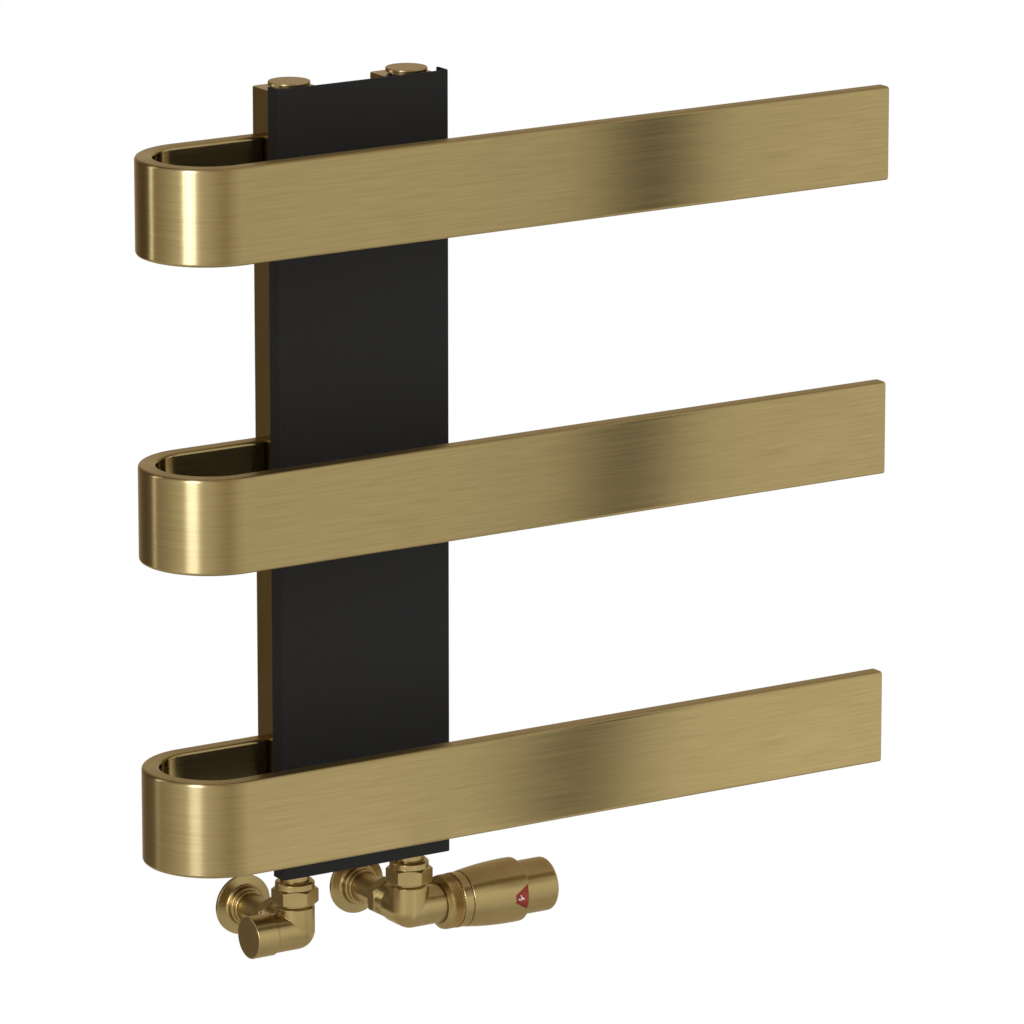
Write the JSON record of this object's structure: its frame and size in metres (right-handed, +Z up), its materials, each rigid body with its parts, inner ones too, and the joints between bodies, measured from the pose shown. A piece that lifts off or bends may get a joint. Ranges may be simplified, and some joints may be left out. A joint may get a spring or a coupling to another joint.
{
  "type": "heated towel rail",
  "caption": "Wall-hung heated towel rail with flat hairpin rails on upright collectors behind a plain cover, with a lockshield valve and a thermostatic valve below.",
  "frame": {"origin": "on the wall plane, in the middle of the four wall fixings, level with the middle rail", "axes": "+X along the rails to their free ends, +Y into the wall, +Z up"},
  "size_m": [0.6, 0.188, 0.6541],
  "materials": {
    "brushed_brass": "brass-coloured coat, brushed along the rail",
    "satin_brass": "satin brass",
    "raw_brass": "turned brass",
    "black_coat": "matt black powder coat",
    "plated_steel": "zinc-plated steel",
    "spring_steel": "drawn spring steel",
    "black_rubber": "moulded rubber",
    "red_plastic": "moulded red plastic with white numbers",
    "black_plastic": "moulded plastic"
  },
  "bodies": {
    "frame": {"back_plates": "plated_steel", "blanking_plug": "brushed_brass", "collector_end_plates": "brushed_brass", "collector_left": "brushed_brass", "collector_right": "brushed_brass", "cover_nuts": "plated_steel", "cover_strips": "plated_steel", "cover_studs": "plated_steel", "cross_ducts": "brushed_brass", "front_cover": "black_coat", "grub_screws": "plated_steel", "head_barrel": "satin_brass", "head_base": "black_plastic", "knurled_ring": "satin_brass", "lockshield_body": "satin_brass", "lockshield_compression_nut": "satin_brass", "lockshield_gland": "raw_brass", "lockshield_pipe": "plated_steel", "lockshield_rosette": "satin_brass", "lockshield_sleeve": "satin_brass", "lockshield_tail": "satin_brass", "lockshield_union_nut": "satin_brass", "olives": "raw_brass", "plain_ring": "satin_brass", "plug_seals": "black_rubber", "rail_bottom": "brushed_brass", "rail_end_plates": "brushed_brass", "rail_middle": "brushed_brass", "rail_top": "brushed_brass", "tail_seals": "black_rubber", "thermostat_body": "satin_brass", "thermostat_compression_nut": "satin_brass", "thermostat_insert": "raw_brass", "thermostat_pipe": "plated_steel", "thermostat_rosette": "satin_brass", "thermostat_sleeve": "satin_brass", "thermostat_tail": "satin_brass", "thermostat_union_nut": "satin_brass", "valve_spring": "spring_steel", "vent_body": "brushed_brass", "wall_plate_lower": "plated_steel", "wall_plate_upper": "plated_steel", "wall_sockets": "plated_steel", "wall_spigots": "plated_steel"},
    "handle": {"handle": "satin_brass", "scale_drum": "red_plastic", "setting_spindle": "raw_brass"},
    "sensor": {"sensor_capsule": "raw_brass"},
    "valve_pin": {"valve_pin": "spring_steel", "valve_disc": "black_rubber"},
    "vent_cap": {"vent_cap": "brushed_brass"},
    "vent_needle": {"vent_needle": "raw_brass"},
    "lockshield_cap": {"lockshield_cap": "satin_brass"},
    "lockshield_spindle": {"lockshield_spindle": "raw_brass"},
    "lockshield_disc": {"lockshield_disc": "black_rubber"}
  },
  "joints": [
    {"name": "handle_turn", "type": "hinge", "parent": "frame", "child": "handle", "pos_m": [0.049, -0.076, -0.336], "axis": [1, 0, 0], "range_deg": [-200, 50]},
    {"name": "sensor_slide", "type": "slide", "parent": "frame", "child": "sensor", "axis": [1, 0, 0], "range_m": [-0.0025, 0.0007]},
    {"name": "pin_slide", "type": "slide", "parent": "frame", "child": "valve_pin", "axis": [1, 0, 0], "range_m": [-0.0025, 0.0007], "deforming": ["valve_spring"]},
    {"name": "vent_turn", "type": "hinge", "parent": "frame", "child": "vent_cap", "pos_m": [0.049, -0.076, 0.29], "axis": [0, 0, 1], "range_deg": [0, 270]},
    {"name": "vent_needle_slide", "type": "slide", "parent": "frame", "child": "vent_needle", "axis": [0, 0, 1], "range_m": [0, 0.0011]},
    {"name": "lockshield_cap_pull", "type": "slide", "parent": "frame", "child": "lockshield_cap", "axis": [-1, 0, 0], "range_m": [0, 0.02]},
    {"name": "lockshield_turn", "type": "hinge", "parent": "frame", "child": "lockshield_spindle", "pos_m": [-0.049, -0.076, -0.336], "axis": [-1, 0, 0], "range_deg": [-360, 360]},
    {"name": "lockshield_disc_slide", "type": "slide", "parent": "frame", "child": "lockshield_disc", "axis": [-1, 0, 0], "range_m": [-0.0016, 0.0016]}
  ],
  "couplings": [
    {"joint": "sensor_slide", "follows": "handle_turn", "m_per_rad": 0.0006875},
    {"joint": "pin_slide", "follows": "handle_turn", "m_per_rad": 0.0006875},
    {"joint": "vent_needle_slide", "follows": "vent_turn", "m_per_rad": 0.00021},
    {"joint": "lockshield_disc_slide", "follows": "lockshield_turn", "m_per_rad": 0.0002}
  ]
}
